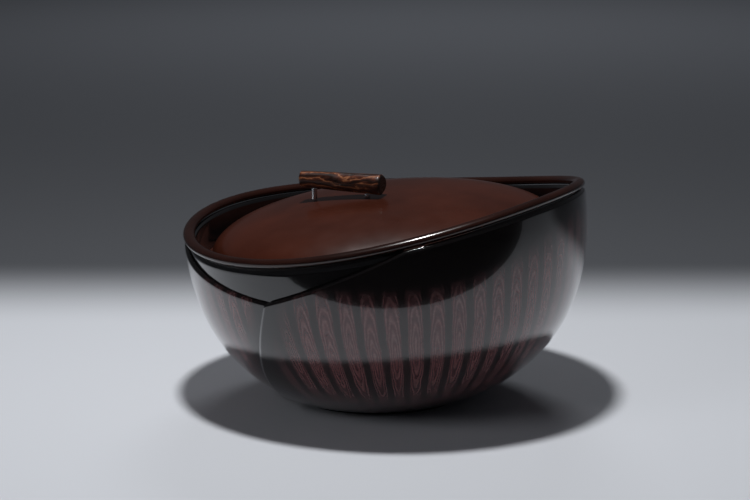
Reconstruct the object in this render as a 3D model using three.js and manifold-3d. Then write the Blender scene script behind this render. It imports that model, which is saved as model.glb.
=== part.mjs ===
// Lidded lacquer container: a leaning bowl wrapped in one lapped skin, with a domed lid inside its rim.
// Millimetres, +Z up, front towards -Y. The bowl's own axis leans towards -X.
import * as THREE from 'three';
import { mergeVertices } from 'three/addons/utils/BufferGeometryUtils.js';
import Module from 'manifold-3d';

// Driving dimensions of the bowl
const RIM_RADIUS = 118;          // outside of the skin at its widest
const BOWL_HEIGHT = 115.5;        // pole of the outside form to its widest level
const BELLY_POWER = 2.4;         // fullness of the bowl's side, 2 would be an ellipse
const LEAN_DEG = 5.4;            // lean of the bowl's axis
const POLE_SINK = 5;             // how far the flat foot cuts into the round base
const BOWL_WALL = 4;
const FLOOR_LEVEL = 17;          // inside floor above the pole, over the flat foot
const SKIN_THICKNESS = 2.6;      // the lapped skin where it is thinnest
const GLUE_GAP = 0.3;            // left between pieces that touch
const FOOT_HEIGHT = 2;
const FOOT_WIDTH = 9;
const FOOT_INSET = 3;            // foot ring inside the edge of the flat base

// The lapped skin
const LAP_STEP = 2.4;            // the upper lapel stands this far above the lower one
const LAP_FADE = 2.6;            // how fast that step dies away round the bowl
const LAP_TOP_DEG = -35;         // where the crease leaves the neck, from the front, + to the right
const LAP_LEAN_DEG = -36;        // how far the crease turns on its way to the base
const NECK_DEPTH = 19;           // depth of the V-shaped neck below the lip
const NECK_LEFT_DEG = 57;
const NECK_RIGHT_DEG = 40;
const SKIN_EDGE_ROUND = 2.4;

// The lip
const LIP_WIDTH = 4.4;
const LIP_HEIGHT = 5;
const LIP_SWAY = 6.1;            // the hand-made lip rises and falls twice on its way round
const LIP_TILT = 4.3;            // and one side of it stands higher
const LIP_PEAK_DEG = 55;         // its highest place, from the front, + to the right

// Lid and its seat
const LID_RADIUS = 102.5;
const LID_RISE = 29;
const LID_THICKNESS = 3;
const LID_LEVEL = 96;            // level of the lid's edge above the pole
const LID_POWER = 2.1;
const LID_EDGE = 2.5;            // upright edge of the lid
const SEAT_THICKNESS = 5;
const SEAT_INNER_RADIUS = 93;
const SPIGOT_DEPTH = 8;
const SPIGOT_WALL = 3;
const SPIGOT_CLEARANCE = 1;

// Handle: a short length of wood on two small posts
const HANDLE_LENGTH = 54;
const HANDLE_THICKNESS = 12.4;
const HANDLE_TAPER = 0.78;       // far end against the near end
const HANDLE_TURN_DEG = -24;     // the near end comes forward
const HANDLE_X = -24;
const HANDLE_Y = -12;
const HANDLE_LIFT = 0.8;         // least gap between wood and lid
const POST_RADIUS = 1.6;
const POST_SPACING = 34;

// Facets
const ROUND_STEPS = 60;
const SKIN_STEPS = 76;
const PROFILE_STEPS = 11;

const wasm = await Module();
wasm.setup();

const radians = THREE.MathUtils.degToRad;
const LEAN = radians(-LEAN_DEG);

// Radius of the outside form at a level above its pole
function bellyRadius(level) {
  const rest = Math.max(0, 1 - level / BOWL_HEIGHT);
  return RIM_RADIUS * (1 - rest ** BELLY_POWER) ** (1 / BELLY_POWER);
}

// Rise and fall of the lip at an angle from the front, + to the right: highest at its peak
function lipSway(angle) {
  const turn = angle - radians(LIP_PEAK_DEG);
  return LIP_TILT * Math.cos(turn) + LIP_SWAY * Math.cos(2 * turn);
}

const point = (radius, angle, level) => [radius * Math.sin(angle), -radius * Math.cos(angle), level];

// Closed body from rings of points: ring i joins ring i + 1, the last joins the first.
// Each ring runs once round the axis. Rings are ordered up the outside and down the inside.
function ringBody(rings) {
  const count = rings[0].length;
  const positions = rings.flat(2);
  const index = [];
  rings.forEach((_, i) => {
    const next = (i + 1) % rings.length;
    for (let j = 0; j < count; j += 1) {
      const k = (j + 1) % count;
      const a = i * count + j;
      const b = i * count + k;
      const c = next * count + k;
      const d = next * count + j;
      index.push(a, b, c, a, c, d);
    }
  });
  const geometry = new THREE.BufferGeometry();
  geometry.setAttribute('position', new THREE.Float32BufferAttribute(positions, 3));
  geometry.setIndex(index);
  return geometry;
}

// Round body whose section, a list of [radius, level], may rise and fall with the lip
function turned(section, steps = ROUND_STEPS, sway = () => 0) {
  const rings = section.map(([radius, level, follow = 0]) => Array.from({ length: steps }, (_, j) => {
    const angle = (2 * Math.PI * j) / steps;
    return point(radius, angle, level + follow * sway(angle));
  }));
  return ringBody(rings);
}

// Solid of revolution whose section starts and ends on the axis
function lathed(section, steps = ROUND_STEPS) {
  const geometry = new THREE.LatheGeometry(section.map(([x, y]) => new THREE.Vector2(x, y)), steps);
  geometry.rotateX(Math.PI / 2);
  return geometry;
}

function toSolid(geometry) {
  const bare = geometry.clone();
  bare.deleteAttribute('normal');
  bare.deleteAttribute('uv');
  const merged = mergeVertices(bare, 1e-4);
  const vertProperties = new Float32Array(merged.attributes.position.array);
  const corners = Array.from(merged.index.array);
  const kept = [];
  for (let i = 0; i < corners.length; i += 3) {
    const [a, b, c] = corners.slice(i, i + 3);
    if (a !== b && b !== c && c !== a) kept.push(a, b, c);
  }
  const triVerts = new Uint32Array(kept);
  return new wasm.Manifold(new wasm.Mesh({ numProp: 3, vertProperties, triVerts }));
}

function fromSolid(solid) {
  const mesh = solid.getMesh();
  const geometry = new THREE.BufferGeometry();
  geometry.setAttribute('position', new THREE.Float32BufferAttribute(mesh.vertProperties, 3));
  geometry.setIndex(Array.from(mesh.triVerts));
  geometry.computeVertexNormals();
  return geometry;
}

// Everything below a level is taken off a body that already leans
function cutFlat(geometry, level) {
  const size = 4 * RIM_RADIUS;
  const block = new THREE.BoxGeometry(size, size, size);
  block.translate(0, 0, level - size / 2);
  return fromSolid(toSolid(geometry).subtract(toSolid(block)));
}

// From the bowl's own axis to the way it stands
function lean(geometry) {
  geometry.rotateY(LEAN);
  geometry.translate(0, 0, -POLE_SINK);
  return geometry;
}

const steps = (count) => Array.from({ length: count + 1 }, (_, i) => i / count);
const easeLevel = (share) => share ** 1.8;

const lipBase = BOWL_HEIGHT - LIP_HEIGHT / 2;
const bowlTop = lipBase - GLUE_GAP;
const bowlOutside = (level) => bellyRadius(level) - SKIN_THICKNESS - GLUE_GAP;

// The cup's outside as a filled form, grown by a gap where a neighbour is cut to fit round it
function cupForm(gap) {
  const outside = steps(PROFILE_STEPS).map((share) => {
    const level = easeLevel(share) * (bowlTop - SKIN_THICKNESS) + SKIN_THICKNESS;
    const radius = Math.max(0, bowlOutside(easeLevel(share) * bowlTop));
    return [share === 0 ? 0 : radius + gap, level - (1 - share) * gap, easeLevel(share)];
  });
  const over = bowlTop + gap * 4;
  return toSolid(turned([...outside, [outside[PROFILE_STEPS][0], over, 1], [0, over, 1]], ROUND_STEPS, lipSway));
}

// The cup's hollow as a filled form, with its wall moved out by a gap
function cupHollow(gap) {
  const inside = steps(PROFILE_STEPS).map((share) => {
    const level = FLOOR_LEVEL + share * (bowlTop - FLOOR_LEVEL);
    return [bowlOutside(level) - BOWL_WALL + gap, level, share ** 2];
  });
  const mouth = [inside[PROFILE_STEPS][0], bowlTop + BOWL_WALL, 1];
  return toSolid(turned([[0, FLOOR_LEVEL], ...inside, mouth, [0, mouth[1], 1]], ROUND_STEPS, lipSway));
}

// The black cup that carries everything: round outside, level floor inside
function innerBowl() {
  const cup = cupForm(0).subtract(cupHollow(0));
  return cutFlat(lean(fromSolid(cup)), FOOT_HEIGHT + GLUE_GAP);
}

// Depth of the neck at an angle from the front: deepest where the two lapels cross
function neckDepth(angle) {
  const away = THREE.MathUtils.radToDeg(angle) - LAP_TOP_DEG;
  const turn = ((away + 540) % 360) - 180;
  const reach = turn < 0 ? NECK_LEFT_DEG : NECK_RIGHT_DEG;
  return NECK_DEPTH * Math.max(0, 1 - Math.abs(turn) / reach);
}

// The lapped skin: its columns follow the crease, and the first stands proud of the last
function outerWrap() {
  const rowCount = PROFILE_STEPS + 2;
  const columns = steps(SKIN_STEPS);
  const crease = (share) => radians(LAP_TOP_DEG + LAP_LEAN_DEG * (1 - share));
  const angleAt = (column, share) => crease(share) + 2 * Math.PI * column;
  const skinTop = (angle) => lipBase - GLUE_GAP + lipSway(angle) - neckDepth(angle);
  const rise = (column) => LAP_STEP * Math.exp(-LAP_FADE * column * Math.PI) * (1 - column);
  const levelAt = (column, share) => {
    const top = skinTop(angleAt(column, 1));
    return 1.5 + easeLevel(share) * (top - 1.5);
  };
  const outerAt = (column, share) => {
    const level = levelAt(column, share);
    const below = skinTop(angleAt(column, 1)) - level;
    const round = below < SKIN_EDGE_ROUND ? SKIN_EDGE_ROUND - below : 0;
    const rounding = SKIN_EDGE_ROUND - Math.sqrt(SKIN_EDGE_ROUND ** 2 - round ** 2);
    const radius = bellyRadius(Math.min(level, BOWL_HEIGHT)) + rise(column) * Math.min(1, share * 4);
    return point(radius - 0.8 * rounding, angleAt(column, share), level);
  };
  const innerAt = (column, share) => {
    const level = levelAt(column, share);
    const radius = bellyRadius(Math.min(level, BOWL_HEIGHT)) - SKIN_THICKNESS;
    return point(Math.max(0.6, radius - BOWL_WALL / 2), angleAt(column, share), level);
  };
  const shares = [...steps(rowCount).map((v) => v * 0.985), 0.993, 1];
  const rings = [
    ...shares.map((share) => columns.map((column) => outerAt(column, share))),
    ...[...shares].reverse().map((share) => columns.map((column) => innerAt(column, share))),
  ];
  const fitted = fromSolid(toSolid(ringBody(rings)).subtract(cupForm(GLUE_GAP)));
  return cutFlat(lean(fitted), FOOT_HEIGHT + GLUE_GAP);
}

// Rounded lip over the top of bowl and skin
function rimRing() {
  const inner = bowlOutside(BOWL_HEIGHT) - BOWL_WALL;
  const centre = RIM_RADIUS - LIP_WIDTH / 2;
  const reach = (RIM_RADIUS - inner) / 2;
  const middle = (RIM_RADIUS + inner) / 2;
  const arc = steps(6).map((v) => Math.PI * v);
  const crown = arc.map((turn) => [
    middle + reach * Math.cos(turn),
    lipBase + (LIP_HEIGHT / 2) + (LIP_HEIGHT / 2) * Math.sin(turn),
    1,
  ]);
  const foot = [[inner, lipBase, 1], [centre + LIP_WIDTH / 2, lipBase, 1]];
  return lean(turned([...crown, ...foot], ROUND_STEPS, lipSway));
}

// Ledge inside the bowl that carries the lid, cut to fit the wall
function seatRing() {
  const top = LID_LEVEL - GLUE_GAP;
  const bottom = top - SEAT_THICKNESS;
  const blank = toSolid(turned([
    [RIM_RADIUS, bottom],
    [RIM_RADIUS, top],
    [SEAT_INNER_RADIUS, top],
    [SEAT_INNER_RADIUS, bottom],
  ]));
  return lean(fromSolid(blank.intersect(cupHollow(-GLUE_GAP))));
}

const lidSurface = (radius, rim = LID_RADIUS, rise = LID_RISE) => (
  LID_LEVEL + LID_EDGE + rise * Math.max(0, 1 - (radius / rim) ** LID_POWER) ** (1 / LID_POWER)
);

// Thin dome, open below
function lidDome() {
  const innerRim = LID_RADIUS - LID_THICKNESS;
  const sweep = steps(10).map((v) => Math.sin((v * Math.PI) / 2));
  const top = sweep.map((v) => [LID_RADIUS * v, lidSurface(LID_RADIUS * v)]).reverse();
  const underside = sweep.map((v) => [
    innerRim * v,
    lidSurface(innerRim * v, innerRim, LID_RISE - LID_THICKNESS + LID_EDGE) - LID_EDGE,
  ]);
  return lean(lathed([...underside, [LID_RADIUS, LID_LEVEL], ...top]));
}

// Ring under the lid that drops inside the seat
function spigotRing() {
  const outer = SEAT_INNER_RADIUS - SPIGOT_CLEARANCE;
  const inner = outer - SPIGOT_WALL;
  const bottom = LID_LEVEL - SPIGOT_DEPTH;
  const innerRim = LID_RADIUS - LID_THICKNESS;
  const under = (radius) => (
    lidSurface(radius, innerRim, LID_RISE - LID_THICKNESS + LID_EDGE) - LID_EDGE - 3 * GLUE_GAP
  );
  return lean(turned([[outer, bottom], [outer, under(outer)], [inner, under(outer)], [inner, bottom]]));
}

// Where the handle stands over the lid, in the way the bowl stands
function lidTopAt(x, y) {
  const own = new THREE.Vector3(x, y, lidSurface(Math.hypot(x, y)));
  own.applyAxisAngle(new THREE.Vector3(0, 1, 0), LEAN);
  own.z -= POLE_SINK;
  return own;
}

const handleTurn = radians(HANDLE_TURN_DEG);
const alongHandle = (distance) => [
  HANDLE_X + distance * Math.cos(handleTurn),
  HANDLE_Y + distance * Math.sin(handleTurn),
];

const halfLength = HANDLE_LENGTH / 2;
const handleShares = steps(8);

// The wood lies level, so it clears the highest ground under it by the least gap
function handleBottom() {
  const tops = handleShares.map((v) => lidTopAt(...alongHandle((2 * v - 1) * halfLength)).z);
  return Math.max(...tops) + HANDLE_LIFT;
}

const handleHeight = (share) => HANDLE_THICKNESS * (HANDLE_TAPER + (1 - HANDLE_TAPER) * share);

function handleCentre() {
  const middle = lidTopAt(HANDLE_X, HANDLE_Y);
  return new THREE.Vector3(middle.x, middle.y, handleBottom() + HANDLE_THICKNESS / 2);
}

// A length of split branch: faceted section, slight belly, rounded ends
function handleBar() {
  const sides = 12;
  const rings = [0.02, 0.06, 0.2, 0.4, 0.6, 0.8, 0.95, 0.99].map((share) => {
    const end = Math.min(share, 1 - share);
    const round = end < 0.06 ? 0.72 + 0.28 * Math.sqrt(end / 0.06) : 1;
    const radius = (handleHeight(share) / 2) * round;
    const belly = 0.5 * Math.sin(Math.PI * share);
    return Array.from({ length: sides }, (_, j) => {
      const angle = (2 * Math.PI * j) / sides;
      const facet = 1 - 0.05 * Math.cos(3 * angle);
      return [
        (2 * share - 1) * halfLength,
        -radius * facet * Math.cos(angle),
        radius * facet * Math.sin(angle) + belly,
      ];
    });
  });
  const count = rings.length;
  const positions = rings.flat(2);
  const index = [];
  for (let i = 0; i + 1 < count; i += 1) {
    for (let j = 0; j < sides; j += 1) {
      const k = (j + 1) % sides;
      index.push(i * sides + j, (i + 1) * sides + j, (i + 1) * sides + k);
      index.push(i * sides + j, (i + 1) * sides + k, i * sides + k);
    }
  }
  for (let j = 1; j + 1 < sides; j += 1) {
    index.push(0, j, j + 1);
    const last = (count - 1) * sides;
    index.push(last, last + j + 1, last + j);
  }
  const geometry = new THREE.BufferGeometry();
  geometry.setAttribute('position', new THREE.Float32BufferAttribute(positions, 3));
  geometry.setIndex(index);
  return outward(geometry);
}

// Faces turned outward whichever way a body was wound
function outward(geometry) {
  const position = geometry.attributes.position;
  const index = Array.from(geometry.index.array);
  const corner = (i) => new THREE.Vector3().fromBufferAttribute(position, index[i]);
  let volume = 0;
  for (let i = 0; i < index.length; i += 3) {
    volume += corner(i).dot(corner(i + 1).cross(corner(i + 2)));
  }
  if (volume < 0) {
    for (let i = 0; i < index.length; i += 3) {
      [index[i], index[i + 1]] = [index[i + 1], index[i]];
    }
    geometry.setIndex(index);
  }
  return geometry;
}

// Upright post from lid to wood
function postSpan(side) {
  const distance = (side * POST_SPACING) / 2;
  const share = 0.5 + distance / HANDLE_LENGTH;
  const ground = lidTopAt(...alongHandle(distance));
  const highest = lidTopAt(...alongHandle(distance + POST_RADIUS * 1.2)).z;
  const low = Math.max(ground.z, highest) + GLUE_GAP;
  const wood = handleCentre().z - handleHeight(share) / 2 + 0.5 * Math.sin(Math.PI * share);
  return { ground, low, high: wood - GLUE_GAP };
}

// Ring that the base stands on
function footRing() {
  const sides = ROUND_STEPS;
  const outside = footRadius() - FOOT_INSET;
  const inside = outside - FOOT_WIDTH;
  const ring = turned([[outside, 0], [outside, FOOT_HEIGHT], [inside, FOOT_HEIGHT], [inside, 0]], sides);
  ring.translate(footCentre(), 0, 0);
  return ring;
}

// The flat base's two ends on the plane y = 0, from the outside form
function baseEnds() {
  const level = FOOT_HEIGHT + GLUE_GAP;
  const ends = [-1, 1].map((side) => {
    let found = 0;
    for (let step = 0; step < 4000; step += 1) {
      const own = step * 0.01;
      const x = side * bellyRadius(own);
      const z = own * Math.cos(LEAN) - x * Math.sin(LEAN) - POLE_SINK;
      if (z <= level) found = x * Math.cos(LEAN) + own * Math.sin(LEAN);
    }
    return found;
  });
  return ends;
}

function footCentre() {
  const [left, right] = baseEnds();
  return (left + right) / 2;
}

function footRadius() {
  const [left, right] = baseEnds();
  return (right - left) / 2;
}

function material(color, roughness, metalness = 0) {
  return new THREE.MeshStandardMaterial({ color, roughness, metalness });
}

const blackLacquer = material('#141416', 0.15);
const stripedLacquer = material('#3a2226', 0.15);
const redLacquer = material('#3a1912', 0.35);
const wood = material('#4a3326', 0.5);
const silver = material('#b9b9bd', 0.3, 1);

const group = new THREE.Group();

function place(name, geometry, look) {
  const mesh = new THREE.Mesh(outward(geometry.index ? geometry : mergeVertices(geometry)), look);
  mesh.name = name;
  group.add(mesh);
  return mesh;
}

place('inner_bowl', innerBowl(), blackLacquer);
place('outer_wrap', outerWrap(), stripedLacquer);
place('rim_ring', rimRing(), redLacquer);
place('lid_seat_ring', seatRing(), redLacquer);
place('foot_ring', footRing(), blackLacquer);
place('lid_dome', lidDome(), redLacquer);
place('lid_spigot_ring', spigotRing(), redLacquer);

const bar = place('handle_bar', handleBar(), wood);
bar.rotation.z = handleTurn;
bar.position.copy(handleCentre());

[['handle_post_left', -1], ['handle_post_right', 1]].forEach(([name, side]) => {
  const { ground, low, high } = postSpan(side);
  const post = place(name, new THREE.CylinderGeometry(POST_RADIUS, POST_RADIUS, high - low, 16), silver);
  post.rotation.x = Math.PI / 2;
  post.position.set(ground.x, ground.y, (low + high) / 2);
});

// Origin under the middle of the whole container
const bounds = new THREE.Box3().setFromObject(group);
const middle = bounds.getCenter(new THREE.Vector3());
group.position.set(-middle.x, -middle.y, -bounds.min.z);

export default group;
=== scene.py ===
# %% [markdown]
# # A lidded lacquer bowl
# The bowl leans to the left, is wrapped in one lapped skin of striped lacquer, and has a red-brown
# lid inside its lip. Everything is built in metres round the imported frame, which carries the sizes.

# %% Load the frame
import math
import bpy
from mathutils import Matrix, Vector


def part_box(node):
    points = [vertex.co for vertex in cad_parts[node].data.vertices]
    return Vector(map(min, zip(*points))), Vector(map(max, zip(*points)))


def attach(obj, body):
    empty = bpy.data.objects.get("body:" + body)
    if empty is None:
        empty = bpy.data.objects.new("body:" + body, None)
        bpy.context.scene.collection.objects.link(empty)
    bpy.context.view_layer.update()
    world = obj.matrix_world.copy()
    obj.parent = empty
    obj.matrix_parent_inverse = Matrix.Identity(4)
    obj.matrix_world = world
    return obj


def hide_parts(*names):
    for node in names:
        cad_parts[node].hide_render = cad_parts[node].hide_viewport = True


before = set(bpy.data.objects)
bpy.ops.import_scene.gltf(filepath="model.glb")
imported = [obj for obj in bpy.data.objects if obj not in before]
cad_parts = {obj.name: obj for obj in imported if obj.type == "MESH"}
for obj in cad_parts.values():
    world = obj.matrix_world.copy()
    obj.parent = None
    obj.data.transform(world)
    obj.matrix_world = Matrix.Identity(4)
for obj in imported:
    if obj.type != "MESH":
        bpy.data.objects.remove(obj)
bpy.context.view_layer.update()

# %% [markdown]
# The outside of the bowl is a full, slightly square oval turned round an axis. The same few sizes
# give every piece, so that skin, cup and lip stay together. Lengths are written in metres.

# %% Sizes of the bowl
MM = 0.001
RIM_RADIUS = 118 * MM
BOWL_HEIGHT = 115.5 * MM
BELLY_POWER = 2.4
LEAN = math.radians(5.4)
POLE_SINK = 5 * MM
FOOT_LEVEL = 2.3 * MM
BOWL_WALL = 4 * MM
FLOOR_LEVEL = 17 * MM
SKIN = 2.6 * MM
GLUE_GAP = 0.3 * MM
LIP_HEIGHT = 5 * MM
LIP_SWAY = 6.1 * MM
LIP_TILT = 4.3 * MM
LIP_PEAK = math.radians(55)
LIP_BASE = BOWL_HEIGHT - LIP_HEIGHT / 2
LEVEL_EASE = 1.8  # rows crowd together towards the base, where the form turns fastest
PIN_HOLE = 0.5 * MM


def belly_radius(level):
    """Radius of the outside form at a level above its pole."""
    rest = max(0.0, 1 - level / BOWL_HEIGHT)
    return RIM_RADIUS * (1 - rest ** BELLY_POWER) ** (1 / BELLY_POWER)


def lip_sway(angle):
    """The hand-made lip rises and falls twice on its way round, and stands higher at its peak."""
    turn = angle - LIP_PEAK
    return LIP_TILT * math.cos(turn) + LIP_SWAY * math.cos(2 * turn)


SEARCH_STEPS = 4000
SEARCH_STEP = 0.01 * MM


def base_ends():
    """Where the flat base ends on the left and on the right, before the bowl is centred."""
    ends = []
    for side in (-1, 1):
        found = 0.0
        for step in range(SEARCH_STEPS):
            own = step * SEARCH_STEP
            x = side * belly_radius(own)
            if own * math.cos(LEAN) + x * math.sin(LEAN) - POLE_SINK <= FOOT_LEVEL:
                found = x * math.cos(LEAN) - own * math.sin(LEAN)
        ends.append(found)
    return ends


foot_low, foot_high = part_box("foot_ring")
SHIFT_X = (foot_low[0] + foot_high[0]) / 2 - sum(base_ends()) / 2
SHIFT_Y = (foot_low[1] + foot_high[1]) / 2
print("axis of the bowl stands at", round(SHIFT_X, 5), round(SHIFT_Y, 5))


def standing(x, y, z):
    """A point of the bowl's own axis frame, moved to where the leaning bowl has it."""
    return (
        x * math.cos(LEAN) - z * math.sin(LEAN) + SHIFT_X,
        y + SHIFT_Y,
        x * math.sin(LEAN) + z * math.cos(LEAN) - POLE_SINK,
    )


def around(radius, angle, level):
    """A point at an angle from the front, positive to the right."""
    return standing(radius * math.sin(angle), -radius * math.cos(angle), level)


# %% [markdown]
# Every round piece is a stack of rings. A ring is a list of points, and neighbouring rings are
# joined by four-sided faces. A closed section joins its last ring to its first.

# %% Helpers for meshes and materials
def ring_mesh(name, rings, closed=True, marks=None):
    """A mesh through rings of points; marks maps an attribute's name to one value per point."""
    count = len(rings[0])
    points = [point for ring in rings for point in ring]
    faces = []
    last = len(rings) if closed else len(rings) - 1
    for i in range(last):
        k = (i + 1) % len(rings)
        for j in range(count):
            m = (j + 1) % count
            faces.append((i * count + j, i * count + m, k * count + m, k * count + j))
    mesh = bpy.data.meshes.new(name)
    mesh.from_pydata(points, [], faces)
    mesh.polygons.foreach_set("use_smooth", [True] * len(faces))
    for label, values in (marks or {}).items():
        layer = mesh.attributes.new(label, "FLOAT", "POINT")
        layer.data.foreach_set("value", values)
    mesh.validate()
    mesh.update()
    piece = bpy.data.objects.new(name, mesh)
    bpy.context.scene.collection.objects.link(piece)
    print(name, len(points), "points")
    return piece


def finish_like(name, color, roughness, coat=0.0, coat_roughness=0.05):
    """A new material with its shader's plain values set on the shader's own sockets."""
    material = bpy.data.materials.new(name)
    material.use_nodes = True
    shader = material.node_tree.nodes["Principled BSDF"]
    shader.inputs["Base Color"].default_value = (*color, 1)
    shader.inputs["Roughness"].default_value = roughness
    shader.inputs["Coat Weight"].default_value = coat
    shader.inputs["Coat Roughness"].default_value = coat_roughness
    return material, material.node_tree, shader


def add(tree, kind, **settings):
    """A new node with its settings, such as operation."""
    node = tree.nodes.new(kind)
    for key, value in settings.items():
        setattr(node, key, value)
    return node


def maths(tree, operation, first, second=0.0):
    """A Math node fed by sockets or numbers; returns its output."""
    node = add(tree, "ShaderNodeMath", operation=operation)
    for slot, value in enumerate((first, second)):
        if isinstance(value, (int, float)):
            node.inputs[slot].default_value = value
        else:
            tree.links.new(value, node.inputs[slot])
    return node.outputs[0]


def attribute(tree, name):
    return add(tree, "ShaderNodeAttribute", attribute_name=name).outputs["Fac"]


def noise(tree, scale, detail=4.0, stretch=(1, 1, 1)):
    """Noise in the object's own space, stretched along its axes."""
    place = add(tree, "ShaderNodeTexCoord").outputs["Object"]
    mapping = add(tree, "ShaderNodeMapping")
    mapping.inputs["Scale"].default_value = stretch
    tree.links.new(place, mapping.inputs["Vector"])
    node = add(tree, "ShaderNodeTexNoise")
    node.inputs["Scale"].default_value = scale
    node.inputs["Detail"].default_value = detail
    tree.links.new(mapping.outputs[0], node.inputs["Vector"])
    return node.outputs["Fac"]


def ramp(tree, value, stops):
    """A colour ramp; stops are (position, colour)."""
    node = add(tree, "ShaderNodeValToRGB")
    elements = node.color_ramp.elements
    while len(elements) < len(stops):
        elements.new(0.5)
    for element, (position, color) in zip(elements, stops):
        element.position = position
        element.color = (*color, 1)
    tree.links.new(value, node.inputs["Fac"])
    return node.outputs["Color"]


def mix(tree, share, first, second):
    """Colour mixed from first to second; each is a socket or a colour."""
    node = add(tree, "ShaderNodeMix", data_type="RGBA")
    tree.links.new(share, node.inputs["Factor"])
    for slot, value in ((6, first), (7, second)):
        if isinstance(value, tuple):
            node.inputs[slot].default_value = (*value, 1)
        else:
            tree.links.new(value, node.inputs[slot])
    return node.outputs[2]


def bump(tree, shader, height, distance, strength):
    node = add(tree, "ShaderNodeBump")
    node.inputs["Strength"].default_value = strength
    node.inputs["Distance"].default_value = distance
    tree.links.new(height, node.inputs["Height"])
    tree.links.new(node.outputs[0], shader.inputs["Normal"])


def dress(piece, material):
    piece.data.materials.clear()
    piece.data.materials.append(material)


# %% [markdown]
# The skin is where the skill is. It is one sheet wrapped round the cup: it starts at the crease on
# the front left, runs right round, and its end passes under its own beginning. So the columns of
# the mesh follow the crease, and the first column stands proud of the last. Its top edge dips into
# a V-shaped neck, and that edge is rounded over.

# %% Shape of the skin
LAP_STEP = 2.4 * MM
LAP_FADE = 2.6
LAP_TOP = math.radians(-35)
LAP_LEAN = math.radians(-36)
NECK_DEPTH = 19 * MM
NECK_LEFT = 57
NECK_RIGHT = 40
EDGE_ROUND = 2.4 * MM
SKIN_COLUMNS = 360
SKIN_ROWS = 70
STRIPE_PITCH = math.radians(6.1)
STRIPE_PHASE = 0.46
BARE_TOP = 15 * MM
BARE_SWAY = 9 * MM
WEAR_FADE = 14 * MM
SKIN_START = 1.5 * MM


def neck_depth(angle):
    """How far the skin's edge drops below the lip."""
    turn = (math.degrees(angle - LAP_TOP) + 540) % 360 - 180
    reach = NECK_LEFT if turn < 0 else NECK_RIGHT
    return NECK_DEPTH * max(0.0, 1 - abs(turn) / reach)


def skin_top(angle):
    return LIP_BASE - GLUE_GAP + lip_sway(angle) - neck_depth(angle)


def skin_place(column, share):
    """Angle and level of a place on the skin: column runs round, share runs up."""
    top_angle = LAP_TOP + 2 * math.pi * column
    angle = top_angle + LAP_LEAN * (1 - share)
    top = skin_top(top_angle)
    return angle, SKIN_START + share ** LEVEL_EASE * (top - SKIN_START), top


def skin_outside(column, share):
    angle, level, top = skin_place(column, share)
    rise = LAP_STEP * math.exp(-LAP_FADE * column * math.pi) * (1 - column)
    below = max(0.0, EDGE_ROUND - (top - level))
    rounding = EDGE_ROUND - math.sqrt(EDGE_ROUND ** 2 - below ** 2)
    radius = belly_radius(min(level, BOWL_HEIGHT)) + rise * min(1.0, share * 4) - 0.8 * rounding
    return around(radius, angle, level)


def skin_inside(column, share):
    angle, level, _ = skin_place(column, share)
    return around(belly_radius(min(level, BOWL_HEIGHT)) - SKIN, angle, level)


def above_base(point):
    """The base is cut flat, so no point lies below the cut."""
    return (point[0], point[1], max(point[2], FOOT_LEVEL))


columns = [i / SKIN_COLUMNS for i in range(SKIN_COLUMNS + 1)]
rows = [0.16 + 0.815 * i / SKIN_ROWS for i in range(SKIN_ROWS + 1)]
rows += [0.98 + 0.02 * i / 8 for i in range(9)]
outside = [[above_base(skin_outside(c, r)) for c in columns] for r in rows]
inside = [[above_base(skin_inside(c, r)) for c in columns] for r in reversed(rows)]
stripes, worn, climb = [], [], []
for r in rows + rows[::-1]:
    for c in columns:
        angle, level, _ = skin_place(c, r)
        full_top = LIP_BASE + lip_sway(LAP_TOP + 2 * math.pi * c)
        bare = BARE_TOP + BARE_SWAY * math.sin(3.1 * angle + 0.6)
        margin = min(c * 360 / 14 * (0.55 + 0.7 * r), (1 - c) * 360 / 6)
        fade = min(1.0, max(0.0, (full_top - level - bare) / WEAR_FADE))
        stripes.append(angle / STRIPE_PITCH + STRIPE_PHASE)
        worn.append(fade * min(1.0, max(0.0, margin - 0.4)))
        climb.append(level / BOWL_HEIGHT)
skin_marks = {"stripe": stripes, "worn": worn, "climb": climb}
skin = ring_mesh("lapped_skin", outside + inside, marks=skin_marks)
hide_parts("outer_wrap")
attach(skin, "bowl")

# %% [markdown]
# The stripes are coloured lacquer laid under black and rubbed through. Each one is a dusky rose
# band with rings like the eye of a knot, closed in by thin light lines, and the black between the
# bands has fine lines too. Three numbers are stored on the mesh: the stripe, how far the black is
# worn through, and the height. The material makes the whole figure from those.

# %% Striped lacquer
striped, tree, shader = finish_like(
    "striped_lacquer", (0.01, 0.006, 0.006), 0.16, coat=1.0, coat_roughness=0.03)
stripe_at = attribute(tree, "stripe")
worn_at = attribute(tree, "worn")
climb_at = attribute(tree, "climb")
wobble = maths(tree, "MULTIPLY", maths(tree, "SUBTRACT", noise(tree, 30, 2), 0.5), 0.3)
across = maths(tree, "FRACT", maths(tree, "ADD", stripe_at, wobble))
side = maths(tree, "ABSOLUTE", maths(tree, "MULTIPLY", maths(tree, "SUBTRACT", across, 0.5), 2.0))
band_number = maths(tree, "FLOOR", maths(tree, "ADD", stripe_at, wobble))
uneven = maths(tree, "SINE", maths(tree, "MULTIPLY", band_number, 2.3))
eye_level = maths(tree, "ADD", maths(tree, "MULTIPLY", uneven, 0.05), 0.47)
up = maths(tree, "MULTIPLY", maths(tree, "SUBTRACT", climb_at, eye_level), 3.4)
narrow = maths(tree, "MULTIPLY", side, 1.5)
away = maths(tree, "SQRT", maths(
    tree, "ADD", maths(tree, "MULTIPLY", narrow, narrow), maths(tree, "MULTIPLY", up, up)))
grain = maths(tree, "MULTIPLY", noise(tree, 170, 4, (1, 1, 0.4)), 0.5)
rings = maths(tree, "SINE", maths(tree, "MULTIPLY", maths(tree, "ADD", away, grain), 21.0))
ring_share = maths(tree, "MULTIPLY", maths(tree, "ADD", rings, 1.0), 0.5)
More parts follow.
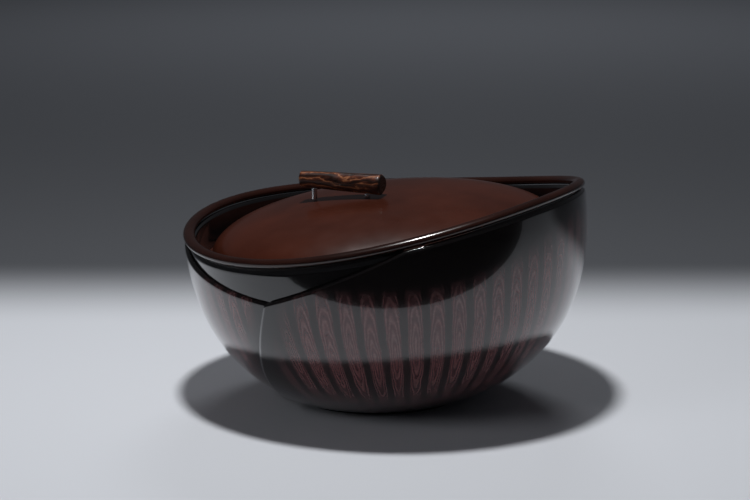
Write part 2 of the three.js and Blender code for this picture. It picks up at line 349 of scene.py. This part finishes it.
speck = maths(tree, "MULTIPLY", maths(tree, "ADD", ring_share, noise(tree, 700, 3)), 0.62)
rose = ramp(tree, speck, [
    (0.1, (0.045, 0.011, 0.013)),
    (0.45, (0.078, 0.024, 0.027)),
    (0.75, (0.105, 0.038, 0.040)),
    (1.0, (0.17, 0.078, 0.075)),
])
band = ramp(tree, side, [(0.0, (1, 1, 1)), (0.56, (1, 1, 1)), (0.74, (0, 0, 0)), (1.0, (0, 0, 0))])
lines = maths(tree, "SINE", maths(tree, "MULTIPLY", maths(tree, "ADD", side, grain), 40.0))
gap = ramp(tree, lines, [
    (0.0, (0.004, 0.0025, 0.0025)),
    (0.6, (0.009, 0.0035, 0.0035)),
    (1.0, (0.045, 0.013, 0.013)),
])
figure = mix(tree, band, gap, rose)
color = mix(tree, worn_at, (0.0045, 0.003, 0.003), figure)
tree.links.new(color, shader.inputs["Base Color"])
bump(tree, shader, noise(tree, 60, 2), 0.0004, 0.05)
dress(skin, striped)

# %% [markdown]
# The lip is a rounded roll of red-brown lacquer that finishes both the cup and the skin. It follows
# the sway of the hand-made edge.

# %% Lip
LIP_STEPS = 300
LIP_SECTION = 28
lip_inner = RIM_RADIUS - SKIN - GLUE_GAP - BOWL_WALL
lip_reach = (RIM_RADIUS - lip_inner) / 2
lip_rings = []
for i in range(LIP_SECTION):
    turn = 2 * math.pi * i / LIP_SECTION
    radius = (RIM_RADIUS + lip_inner) / 2 + lip_reach * math.cos(turn)
    lift = LIP_HEIGHT / 2 + LIP_HEIGHT / 2 * math.sin(turn)
    lip_rings.append([
        around(radius, angle, LIP_BASE + lift + lip_sway(angle))
        for angle in (2 * math.pi * j / LIP_STEPS for j in range(LIP_STEPS))])
lip = ring_mesh("rounded_lip", lip_rings)
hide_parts("rim_ring")
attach(lip, "bowl")


# %% [markdown]
# The red-brown lacquer is the same on lip, lid and ledge: satin, a little cloudy from rubbing, with
# slight waves that only show in reflections.

# %% Red-brown lacquer
def red_lacquer(name, color, roughness):
    """Red-brown lacquer with cloudy colour, uneven gloss and very shallow waves."""
    material, tree, shader = finish_like(name, color, roughness, coat=0.35, coat_roughness=0.12)
    cloud = noise(tree, 22, 5)
    light = tuple(channel * 1.35 for channel in color)
    dark = tuple(channel * 0.75 for channel in color)
    tree.links.new(ramp(tree, cloud, [(0.3, dark), (0.7, light)]), shader.inputs["Base Color"])
    rubbed = maths(tree, "ADD", maths(tree, "MULTIPLY", noise(tree, 90, 4), 0.12), roughness - 0.06)
    tree.links.new(rubbed, shader.inputs["Roughness"])
    bump(tree, shader, noise(tree, 45, 2), 0.0005, 0.06)
    return material


lid_red = red_lacquer("red_lacquer", (0.042, 0.0085, 0.0032), 0.3)
dress(lip, red_lacquer("lip_lacquer", (0.016, 0.0042, 0.0024), 0.22))
for node in ("lid_seat_ring", "lid_spigot_ring"):
    dress(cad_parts[node], red_lacquer("lacquer_" + node, (0.04, 0.0095, 0.005), 0.35))

# %% [markdown]
# The cup inside is black lacquer. It shows in the V-shaped neck and inside the lip. The foot under
# it is finished the same way, a little duller where it is rubbed by tables.

# %% Cup and foot
CUP_STEPS = 240
CUP_ROWS = 40


def black_lacquer(name, roughness):
    material, tree, shader = finish_like(name, (0.0045, 0.004, 0.0045), roughness, coat=1.0)
    cloud = noise(tree, 30, 4)
    clouded = ramp(tree, cloud, [(0.3, (0.003, 0.003, 0.0032)), (0.7, (0.0065, 0.0055, 0.006))])
    tree.links.new(clouded, shader.inputs["Base Color"])
    bump(tree, shader, noise(tree, 50, 2), 0.0004, 0.05)
    return material


def cup_ring(radius, level, follow):
    ring = []
    for j in range(CUP_STEPS):
        angle = 2 * math.pi * j / CUP_STEPS
        ring.append(above_base(around(radius, angle, level + follow * lip_sway(angle))))
    return ring


cup_top = LIP_BASE - GLUE_GAP
cup_rings = [cup_ring(PIN_HOLE, SKIN, 0.0)]
for i in range(1, CUP_ROWS + 1):
    rise = (i / CUP_ROWS) ** LEVEL_EASE
    radius = belly_radius(rise * cup_top) - SKIN - GLUE_GAP
    cup_rings.append(cup_ring(radius, SKIN + rise * (cup_top - SKIN), rise))
for i in range(CUP_ROWS, -1, -1):
    share = i / CUP_ROWS
    level = FLOOR_LEVEL + share * (cup_top - FLOOR_LEVEL)
    cup_rings.append(cup_ring(belly_radius(level) - SKIN - GLUE_GAP - BOWL_WALL, level, share ** 2))
cup_rings.append(cup_ring(PIN_HOLE, FLOOR_LEVEL, 0.0))
cup = ring_mesh("black_cup", cup_rings)
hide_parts("inner_bowl")
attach(cup, "bowl")
dress(cup, black_lacquer("black_lacquer", 0.12))
dress(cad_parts["foot_ring"], black_lacquer("foot_lacquer", 0.3))

# %% [markdown]
# The lid is a thin dome, steep at its edge and nearly flat on top, so it is turned from a full oval
# rather than from a piece of a ball.

# %% Lid
LID_RADIUS = 102.5 * MM
LID_RISE = 29 * MM
LID_THICKNESS = 3 * MM
LID_LEVEL = 96 * MM
LID_POWER = 2.1
LID_EDGE = 2.5 * MM
UNDERSIDE_DROP = 0.5 * MM
EDGE_BREAK = 0.6 * MM
LID_STEPS = 240
LID_ROWS = 36


def lid_surface(radius, rim=LID_RADIUS, rise=LID_RISE):
    """Level of the lid's top at a distance from its axis."""
    return LID_LEVEL + LID_EDGE + rise * max(0.0, 1 - (radius / rim) ** LID_POWER) ** (1 / LID_POWER)


def lid_ring(radius, level):
    return [around(radius, 2 * math.pi * j / LID_STEPS, level) for j in range(LID_STEPS)]


inner_rim = LID_RADIUS - LID_THICKNESS
sweep = [math.sin(0.5 * math.pi * max(i, 0.02) / LID_ROWS) for i in range(LID_ROWS + 1)]
inner_rise = LID_RISE - UNDERSIDE_DROP
lid_rings = [
    lid_ring(inner_rim * s, lid_surface(inner_rim * s, inner_rim, inner_rise) - LID_EDGE)
    for s in sweep]
lid_rings.append(lid_ring(LID_RADIUS - EDGE_BREAK, LID_LEVEL))
lid_rings.append(lid_ring(LID_RADIUS, LID_LEVEL + EDGE_BREAK))
lid_rings += [lid_ring(LID_RADIUS * s, lid_surface(LID_RADIUS * s)) for s in reversed(sweep)]
lid = ring_mesh("domed_lid", lid_rings)
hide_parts("lid_dome")
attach(lid, "lid")
dress(lid, lid_red)

# %% [markdown]
# The handle is a short length of dark wood, split, with wavy pale grain all round. Its near end is
# cut clean and lacquered black. Two small bright posts hold it.

# %% Handle
HANDLE_TURN = math.radians(-24)
BAR_SIDES = 48
BAR_RINGS = 60
bar_low, bar_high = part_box("handle_bar")
bar_centre = [(a + b) / 2 for a, b in zip(bar_low, bar_high)]
BAR_LENGTH = 53 * MM
BAR_THICKNESS = 12.2 * MM
BAR_TAPER = 0.78
BAR_CORNER = 1.3 * MM
BAR_END_ALLOWANCE = 1 * MM
bar_rings, bar_across, bar_along = [], [], []
for i in range(BAR_RINGS + 1):
    share = i / BAR_RINGS
    end = min(share, 1 - share) * BAR_LENGTH
    past = max(0.0, BAR_CORNER - end)
    round_off = BAR_CORNER - math.sqrt(max(0.0, BAR_CORNER ** 2 - past ** 2))
    radius = BAR_THICKNESS * (BAR_TAPER + (1 - BAR_TAPER) * share) / 2 - round_off
    distance = (share - 0.5) * (BAR_LENGTH - BAR_END_ALLOWANCE)
    ring = []
    for j in range(BAR_SIDES):
        angle = 2 * math.pi * j / BAR_SIDES
        rough = 1 - 0.05 * math.cos(3 * angle) + 0.012 * math.sin(7 * angle + 9 * share)
        out = radius * rough * math.cos(angle)
        high = radius * rough * math.sin(angle) * 0.97
        ring.append((
            bar_centre[0] + distance * math.cos(HANDLE_TURN) + out * math.sin(HANDLE_TURN),
            bar_centre[1] + distance * math.sin(HANDLE_TURN) - out * math.cos(HANDLE_TURN),
            bar_centre[2] + high))
        bar_across.append(angle / math.pi)
        bar_along.append(share)
    bar_rings.append(ring)
bar_marks = {"round": bar_across, "along": bar_along}
bar = ring_mesh("wood_handle", bar_rings, closed=False, marks=bar_marks)
bar_mesh = bar.data
caps = [list(range(BAR_SIDES))[::-1], [BAR_RINGS * BAR_SIDES + j for j in range(BAR_SIDES)]]
whole = bpy.data.meshes.new("wood_handle_closed")
bar_points = [vertex.co[:] for vertex in bar_mesh.vertices]
bar_sides = [face.vertices[:] for face in bar_mesh.polygons]
whole.from_pydata(bar_points, [], bar_sides + caps)
whole.polygons.foreach_set("use_smooth", [True] * (len(whole.polygons) - 2) + [False, False])
for label, values in bar_marks.items():
    whole.attributes.new(label, "FLOAT", "POINT").data.foreach_set("value", values)
bar.data = whole
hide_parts("handle_bar")
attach(bar, "lid")

dark_wood, tree, shader = finish_like(
    "dark_wood", (0.09, 0.03, 0.018), 0.38, coat=0.3, coat_roughness=0.2)
grain = noise(tree, 120, 6, (0.25, 1, 1))
waves = maths(tree, "SINE", maths(tree, "ADD", maths(tree, "MULTIPLY", attribute(tree, "round"), 26.0),
                                  maths(tree, "MULTIPLY", grain, 24.0)))
wood_color = ramp(tree, maths(tree, "MULTIPLY", maths(tree, "ADD", waves, 1.0), 0.5), [
    (0.0, (0.012, 0.004, 0.002)),
    (0.6, (0.045, 0.010, 0.004)),
    (0.93, (0.09, 0.022, 0.008)),
    (1.0, (0.26, 0.10, 0.04)),
])
near_end = ramp(tree, attribute(tree, "along"), [
    (0.0, (0, 0, 0)), (0.985, (0, 0, 0)), (0.992, (1, 1, 1)), (1.0, (1, 1, 1))])
tree.links.new(mix(tree, near_end, wood_color, (0.008, 0.006, 0.006)), shader.inputs["Base Color"])
bump(tree, shader, waves, 0.0003, 0.25)
dress(bar, dark_wood)

silver, tree, shader = finish_like("bright_post", (0.75, 0.75, 0.77), 0.22)
shader.inputs["Metallic"].default_value = 1.0
rub = maths(tree, "ADD", maths(tree, "MULTIPLY", noise(tree, 400, 4), 0.15), 0.15)
tree.links.new(rub, shader.inputs["Roughness"])
for node in ("handle_post_left", "handle_post_right"):
    dress(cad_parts[node], silver)

# %% [markdown]
# The bowl stands on a pale floor with painted shade: its colour darkens to grey behind the bowl,
# where the lamp's pool of light falls off. The lamp hangs right above, so the shadow lies round the
# base and the pale floor shines up into the lower half of the lacquer. In gloss the floor is painted
# dark past its front edge, a painted reflection of the unlit room behind the camera.

# %% Floor
WIDE = 5.0
# painted shade: between these distances behind the bowl the floor's colour fades from pale to grey
FADE_FROM = 0.16
FADE_TO = 0.36
FRONT_EDGE = -0.235
PALE = (0.60, 0.62, 0.66)
# painted shade: the grey the floor is painted far behind the bowl, where the lamp's light falls off
FAR_SHADE = (0.085, 0.089, 0.098)
# painted reflection: the dark of the unlit room, which glossy rays see on the floor past its front
# edge
UNLIT = (0.012, 0.012, 0.013)


def floor_material():
    """Pale paint with painted shade that greys it far behind the bowl; in reflections the floor past
    the front edge is painted dark for the unlit room.
    """
    material, tree, shader = finish_like("floor_paint_with_painted_shade", PALE, 0.9)
    shader.inputs["Specular IOR Level"].default_value = 0.05
    split = add(tree, "ShaderNodeSeparateXYZ")
    tree.links.new(add(tree, "ShaderNodeTexCoord").outputs["Object"], split.inputs[0])
    # painted shade: the floor's colour darkens towards the back, with an uneven edge
    beyond = maths(tree, "SUBTRACT", split.outputs["Y"], FADE_FROM)
    reach = maths(tree, "DIVIDE", beyond, FADE_TO - FADE_FROM)
    uneven = maths(tree, "MULTIPLY", maths(tree, "SUBTRACT", noise(tree, 3, 3), 0.5), 0.06)
    painted_shade_reach = maths(tree, "ADD", reach, uneven)
    seen = ramp(tree, painted_shade_reach, [(0.0, PALE), (1.0, FAR_SHADE)])
    tree.nodes[-1].color_ramp.interpolation = "EASE"
    # painted reflection: glossy rays see the floor past its front edge painted in the unlit dark
    past = maths(tree, "LESS_THAN", split.outputs["Y"], FRONT_EDGE)
    glossy = add(tree, "ShaderNodeLightPath").outputs["Is Glossy Ray"]
    unlit_share = maths(tree, "MULTIPLY", past, glossy)
    tree.links.new(mix(tree, unlit_share, seen, UNLIT), shader.inputs["Base Color"])
    return material


floor_mesh = bpy.data.meshes.new("floor")
corners = [(-WIDE, -WIDE, 0), (WIDE, -WIDE, 0), (WIDE, WIDE, 0), (-WIDE, WIDE, 0)]
floor_mesh.from_pydata(corners, [], [(0, 1, 2, 3)])
floor = bpy.data.objects.new("floor", floor_mesh)
bpy.context.scene.collection.objects.link(floor)
floor_mesh.materials.append(floor_material())

# %% [markdown]
# A small lamp hangs a little left of the bowl and casts its shadow. A large dim one fills in from
# the front left, and a third lights the floor far behind. Only the first shows in the gloss.

# %% Lamps
def lamp(name, place, target, size, power, color=(1, 1, 1)):
    data = bpy.data.lights.new(name, "AREA")
    data.shape = "DISK"
    data.size = size
    data.energy = power
    data.color = color
    light = bpy.data.objects.new(name, data)
    light.location = place
    aim = [t - p for t, p in zip(target, place)]
    light.rotation_mode = "QUATERNION"
    light.rotation_quaternion = Vector(aim).to_track_quat("-Z", "Y")
    bpy.context.scene.collection.objects.link(light)
    return light


lamp("top_lamp", (SHIFT_X - 0.077, -0.06, 1.08), (SHIFT_X - 0.02, 0, 0), 0.10, 9.5)
lamp("left_fill", (-1.3, -0.9, 0.9), (0, 0, 0), 0.9, 4.0, (0.97, 0.97, 1)).visible_glossy = False
lamp("back_lamp", (0.15, 2.2, 1.6), (0.1, 2.3, 0), 0.9, 22, (0.95, 0.97, 1)).visible_glossy = False
world = bpy.data.worlds.new("room")
bpy.context.scene.world = world
world.use_nodes = True
world.node_tree.nodes["Background"].inputs["Color"].default_value = (0.028, 0.029, 0.032, 1)

# %% [markdown]
# The camera looks down a little, from a good metre away, with a long lens, so the lip stays a
# narrow oval.

# %% Camera
CAMERA_BACK = 1.15
CAMERA_HIGH = 0.33
CAMERA_ASIDE = -0.016
LOOK_DOWN = math.radians(12.0)
camera = bpy.data.objects.new("camera", bpy.data.cameras.new("camera"))
camera.data.lens = 96
camera.data.sensor_width = 36
camera.location = (SHIFT_X + CAMERA_ASIDE, -CAMERA_BACK, CAMERA_HIGH)
camera.rotation_euler = (math.pi / 2 - LOOK_DOWN, 0, 0)
bpy.context.scene.collection.objects.link(camera)
bpy.context.scene.camera = camera
bpy.context.scene.view_settings.view_transform = "Standard"
